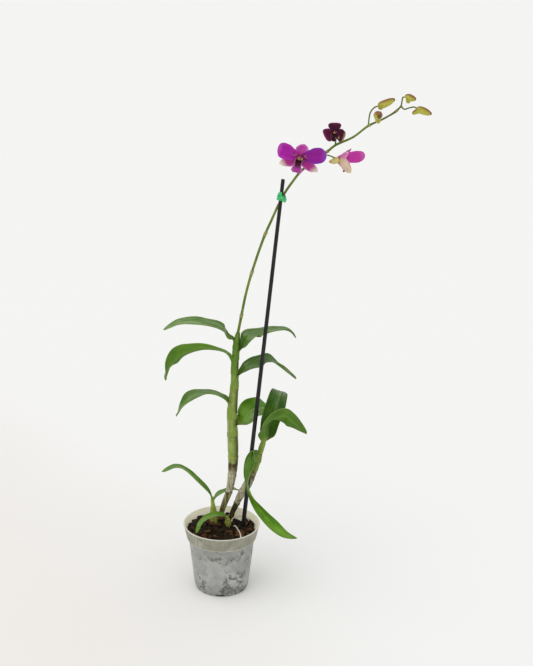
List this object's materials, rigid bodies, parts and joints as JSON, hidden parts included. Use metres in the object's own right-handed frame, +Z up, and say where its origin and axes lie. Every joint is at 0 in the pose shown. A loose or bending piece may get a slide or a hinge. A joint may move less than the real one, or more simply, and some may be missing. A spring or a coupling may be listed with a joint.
{
  "type": "dendrobium orchid in a pot",
  "caption": "Upright potted dendrobium orchid with leafy canes, a staked arching flower spike, purple blooms and pale buds in a clear round nursery pot of bark.",
  "frame": {"origin": "centre of the pot's flat underside", "axes": "+Z up the plant; +X the way the flower spike leans; -Y towards the side that the plant is seen from"},
  "size_m": [0.3433, 0.1127, 0.6793],
  "materials": {
    "clear_plastic": "thin moulded translucent plastic, greyed by use",
    "bark": "rough, damp bark chips",
    "cane": "satin green skin, papery sheaths lower down",
    "leaf": "semi-gloss, leathery",
    "root": "dull, velvety",
    "stake_coat": "smooth black coat",
    "tape": "soft satin tape",
    "spike": "satin green skin",
    "petal": "soft, velvety, veined",
    "dark_petal": "soft, velvety, nearly black at the middle",
    "lip": "velvety, maroon throat",
    "bud": "satin"
  },
  "bodies": {
    "root": {"bark_medium": "bark", "bloom_1_lip": "lip", "bloom_1_tepals": "petal", "bloom_2_lip": "lip", "bloom_2_tepals": "petal", "bloom_3_lip": "lip", "bloom_3_tepals": "dark_petal", "bud_1": "bud", "bud_2": "bud", "bud_3": "bud", "bud_4": "bud", "flower_spike": "spike", "leaf_short_1_back": "leaf", "leaf_short_2_front": "leaf", "leaf_short_3_hanging": "leaf", "leaf_tall_1_left": "leaf", "leaf_tall_2_right": "leaf", "leaf_tall_3_left": "leaf", "leaf_tall_4_right": "leaf", "leaf_tall_5_left": "leaf", "leaf_tall_6_right": "leaf", "pot": "clear_plastic", "root_back": "root", "root_front": "root", "shoot_front": "leaf", "shoot_left": "leaf", "short_cane": "cane", "stake": "stake_coat", "tall_cane": "cane", "tie": "tape"}
  },
  "joints": []
}
